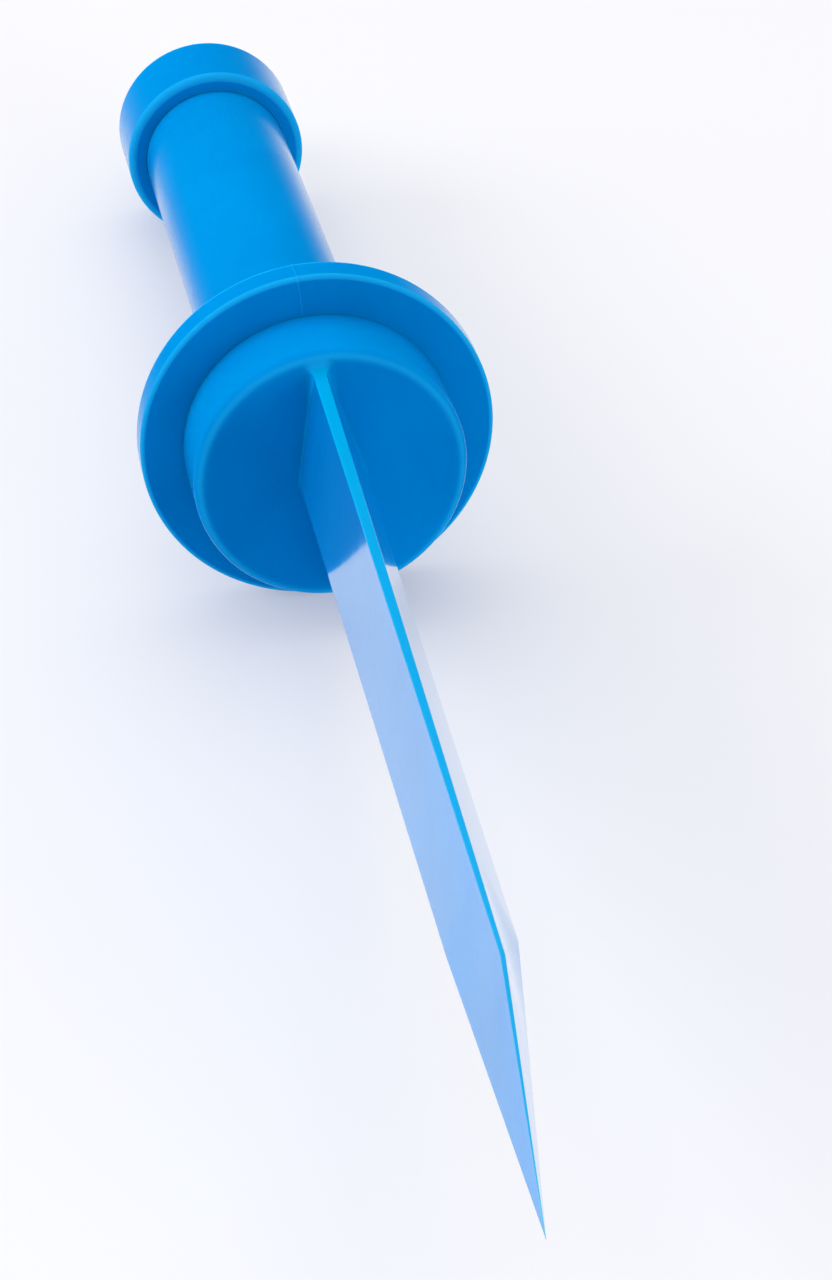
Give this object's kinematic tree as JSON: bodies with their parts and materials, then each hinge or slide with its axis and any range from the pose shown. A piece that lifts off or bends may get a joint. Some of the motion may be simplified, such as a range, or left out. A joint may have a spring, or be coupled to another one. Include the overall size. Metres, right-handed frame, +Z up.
{
  "type": "drip emitter",
  "caption": "Stake drip emitter: blade and drum below a round soil flange, hollow stem above, turning cap with a barbed tube spigot that meters the flow.",
  "frame": {"origin": "centre of the soil flange's underside, on the stem's axis", "axes": "+Z up the stem's axis towards the cap and the tube spigot, +X across the blade's tall direction, +Y across its thin direction"},
  "size_m": [0.024, 0.024, 0.1437],
  "materials": {
    "body_plastic": "smooth moulded polypropylene, slightly translucent",
    "seal_rubber": "satin black rubber",
    "seat_rubber": "satin dark rubber",
    "clip_steel": "rolled spring steel",
    "washer_plastic": "natural acetal",
    "cage_plastic": "black polypropylene",
    "screen_steel": "fine woven stainless mesh",
    "insert_plastic": "natural polypropylene",
    "diaphragm_silicone": "translucent silicone"
  },
  "bodies": {
    "housing": {"stem_body": "body_plastic", "stake": "body_plastic", "plug_seal": "seal_rubber", "needle_seat": "seat_rubber", "seat_ring": "washer_plastic", "filter_gasket": "seal_rubber", "filter_cage": "cage_plastic", "filter_screen": "screen_steel", "labyrinth_core": "insert_plastic", "regulator_seat": "insert_plastic"},
    "carrier": {"thrust_washer": "washer_plastic"},
    "cap": {"adjust_cap": "body_plastic"},
    "inlet": {"inlet_barb": "body_plastic", "swivel_clip": "clip_steel", "barb_seal": "seal_rubber", "metering_needle": "washer_plastic"},
    "float_disc": {"diaphragm": "diaphragm_silicone"}
  },
  "joints": [
    {"name": "cap_rise", "type": "slide", "parent": "housing", "child": "carrier", "axis": [0, 0, 1], "range_m": [0, 0.0015]},
    {"name": "cap_turn", "type": "hinge", "parent": "carrier", "child": "cap", "pos_m": [0, 0, 0.05], "axis": [0, 0, 1], "range_deg": [0, 540]},
    {"name": "inlet_swivel", "type": "hinge", "parent": "carrier", "child": "inlet", "pos_m": [0, 0, 0.05], "axis": [0, 0, 1], "continuous": true},
    {"name": "diaphragm_float", "type": "slide", "parent": "housing", "child": "float_disc", "axis": [0, 0, -1], "range_m": [0, 0.00026]}
  ],
  "couplings": [
    {"joint": "cap_turn", "follows": "cap_rise", "rad_per_m": 6283.2}
  ]
}
